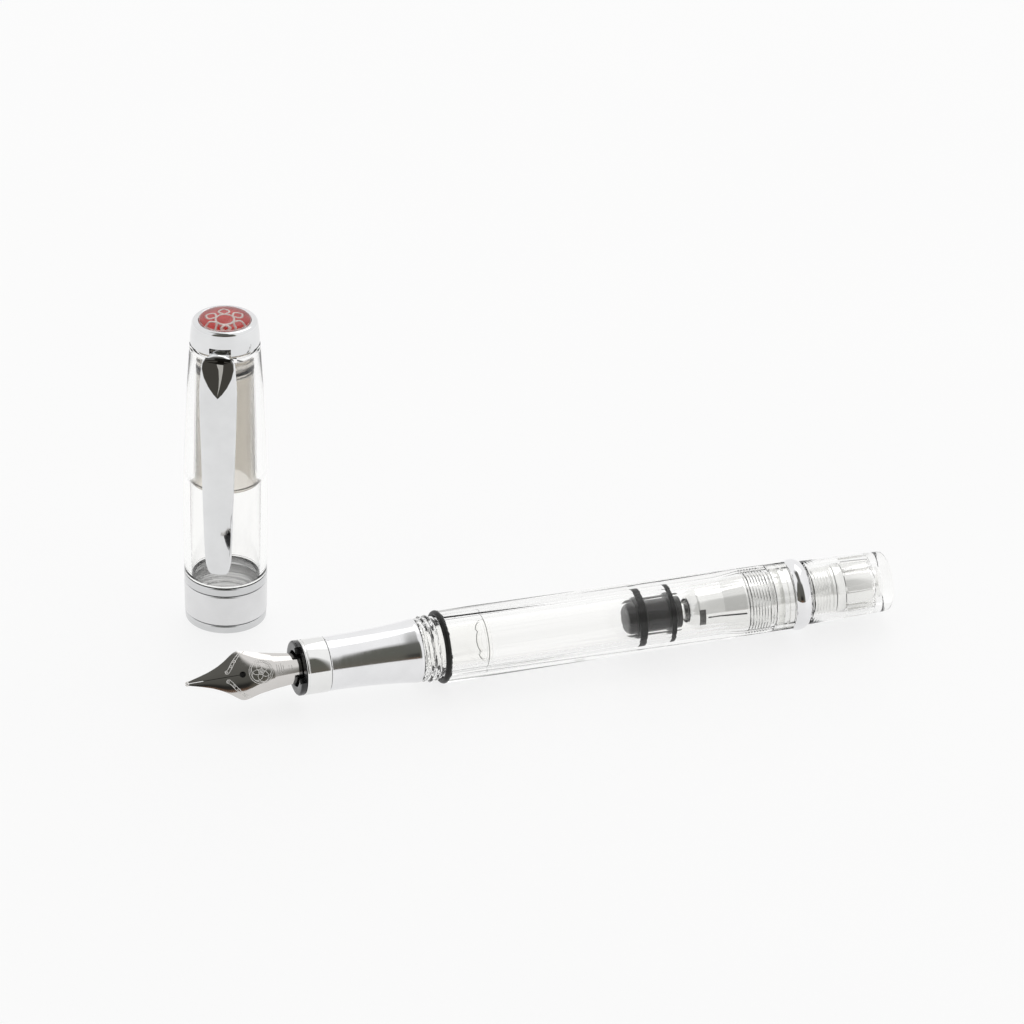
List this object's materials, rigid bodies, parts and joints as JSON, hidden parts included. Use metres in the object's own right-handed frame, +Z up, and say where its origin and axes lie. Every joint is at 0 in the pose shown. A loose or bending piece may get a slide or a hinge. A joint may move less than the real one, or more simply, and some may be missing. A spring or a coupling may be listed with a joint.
{
  "type": "fountain pen",
  "caption": "Clear piston-filling fountain pen lying uncapped, with its clear clip cap standing on its lip beside it.",
  "frame": {"origin": "centre of the floor area under pen and cap, on the surface they stand on", "axes": "+X along the pen from nib to knob, +Z up along the cap's axis, +Y from the pen towards the cap"},
  "size_m": [0.132, 0.0476, 0.0614],
  "materials": {
    "nib_steel": "polished, engraved",
    "black_plastic": "gloss",
    "plug_plastic": "gloss",
    "chrome": "mirror",
    "satin_chrome": "satin with bright grooves",
    "grip_aluminium": "polished",
    "mechanism_aluminium": "satin",
    "clear_acrylic": "clear gloss",
    "clear_silicone": "translucent",
    "smoky_plastic": "smoky translucent",
    "black_rubber": "satin",
    "emblem_silver": "satin",
    "red_jewel": "clear gloss"
  },
  "bodies": {
    "pen_body": {"barrel": "clear_acrylic", "nib": "nib_steel", "feed": "black_plastic", "nib_collar": "black_plastic", "grip_trim_ring": "chrome", "grip_sleeve": "grip_aluminium", "section_core": "clear_acrylic", "section_seal_ring": "clear_silicone", "cap_seal_ring": "black_rubber", "piston_connector": "mechanism_aluminium", "connector_seal_ring": "clear_silicone", "rod_key_washer": "black_plastic", "end_ring": "chrome"},
    "drive_core": {"drive_core": "mechanism_aluminium"},
    "knob": {"piston_knob": "clear_acrylic"},
    "piston": {"piston_rod": "mechanism_aluminium", "piston_plug": "plug_plastic", "front_piston_ring": "black_rubber", "rear_piston_ring": "black_rubber"},
    "cap": {"cap_body": "clear_acrylic", "cap_band": "satin_chrome", "inner_cap": "smoky_plastic", "inner_cap_ring": "black_rubber", "crown": "chrome", "cap_screw": "mechanism_aluminium", "emblem_disc": "emblem_silver", "jewel": "red_jewel"},
    "clip": {"clip": "chrome"}
  },
  "joints": [
    {"name": "knob_turn", "type": "hinge", "parent": "pen_body", "child": "drive_core", "pos_m": [0.055, -0.0172, 0.00661], "axis": [1, 0, 0], "range_deg": [0, 1800]},
    {"name": "knob_travel", "type": "slide", "parent": "drive_core", "child": "knob", "axis": [1, 0, 0], "range_m": [0, 0.0035]},
    {"name": "piston_travel", "type": "slide", "parent": "pen_body", "child": "piston", "axis": [-1, 0, 0], "range_m": [0, 0.0255]},
    {"name": "cap_lift", "type": "slide", "parent": "pen_body", "child": "cap", "axis": [0, 0, 1], "range_m": [0, 0.07]},
    {"name": "clip_flex", "type": "hinge", "parent": "cap", "child": "clip", "pos_m": [-0.05113, 0.01101, 0.0566], "axis": [-0.9092, 0.4163, 0], "range_deg": [0, 3], "stiffness_Nm_per_rad": 0.05}
  ],
  "couplings": [
    {"joint": "knob_turn", "follows": "piston_travel", "rad_per_m": 1231.9},
    {"joint": "knob_travel", "follows": "piston_travel", "ratio": 0.1372}
  ]
}
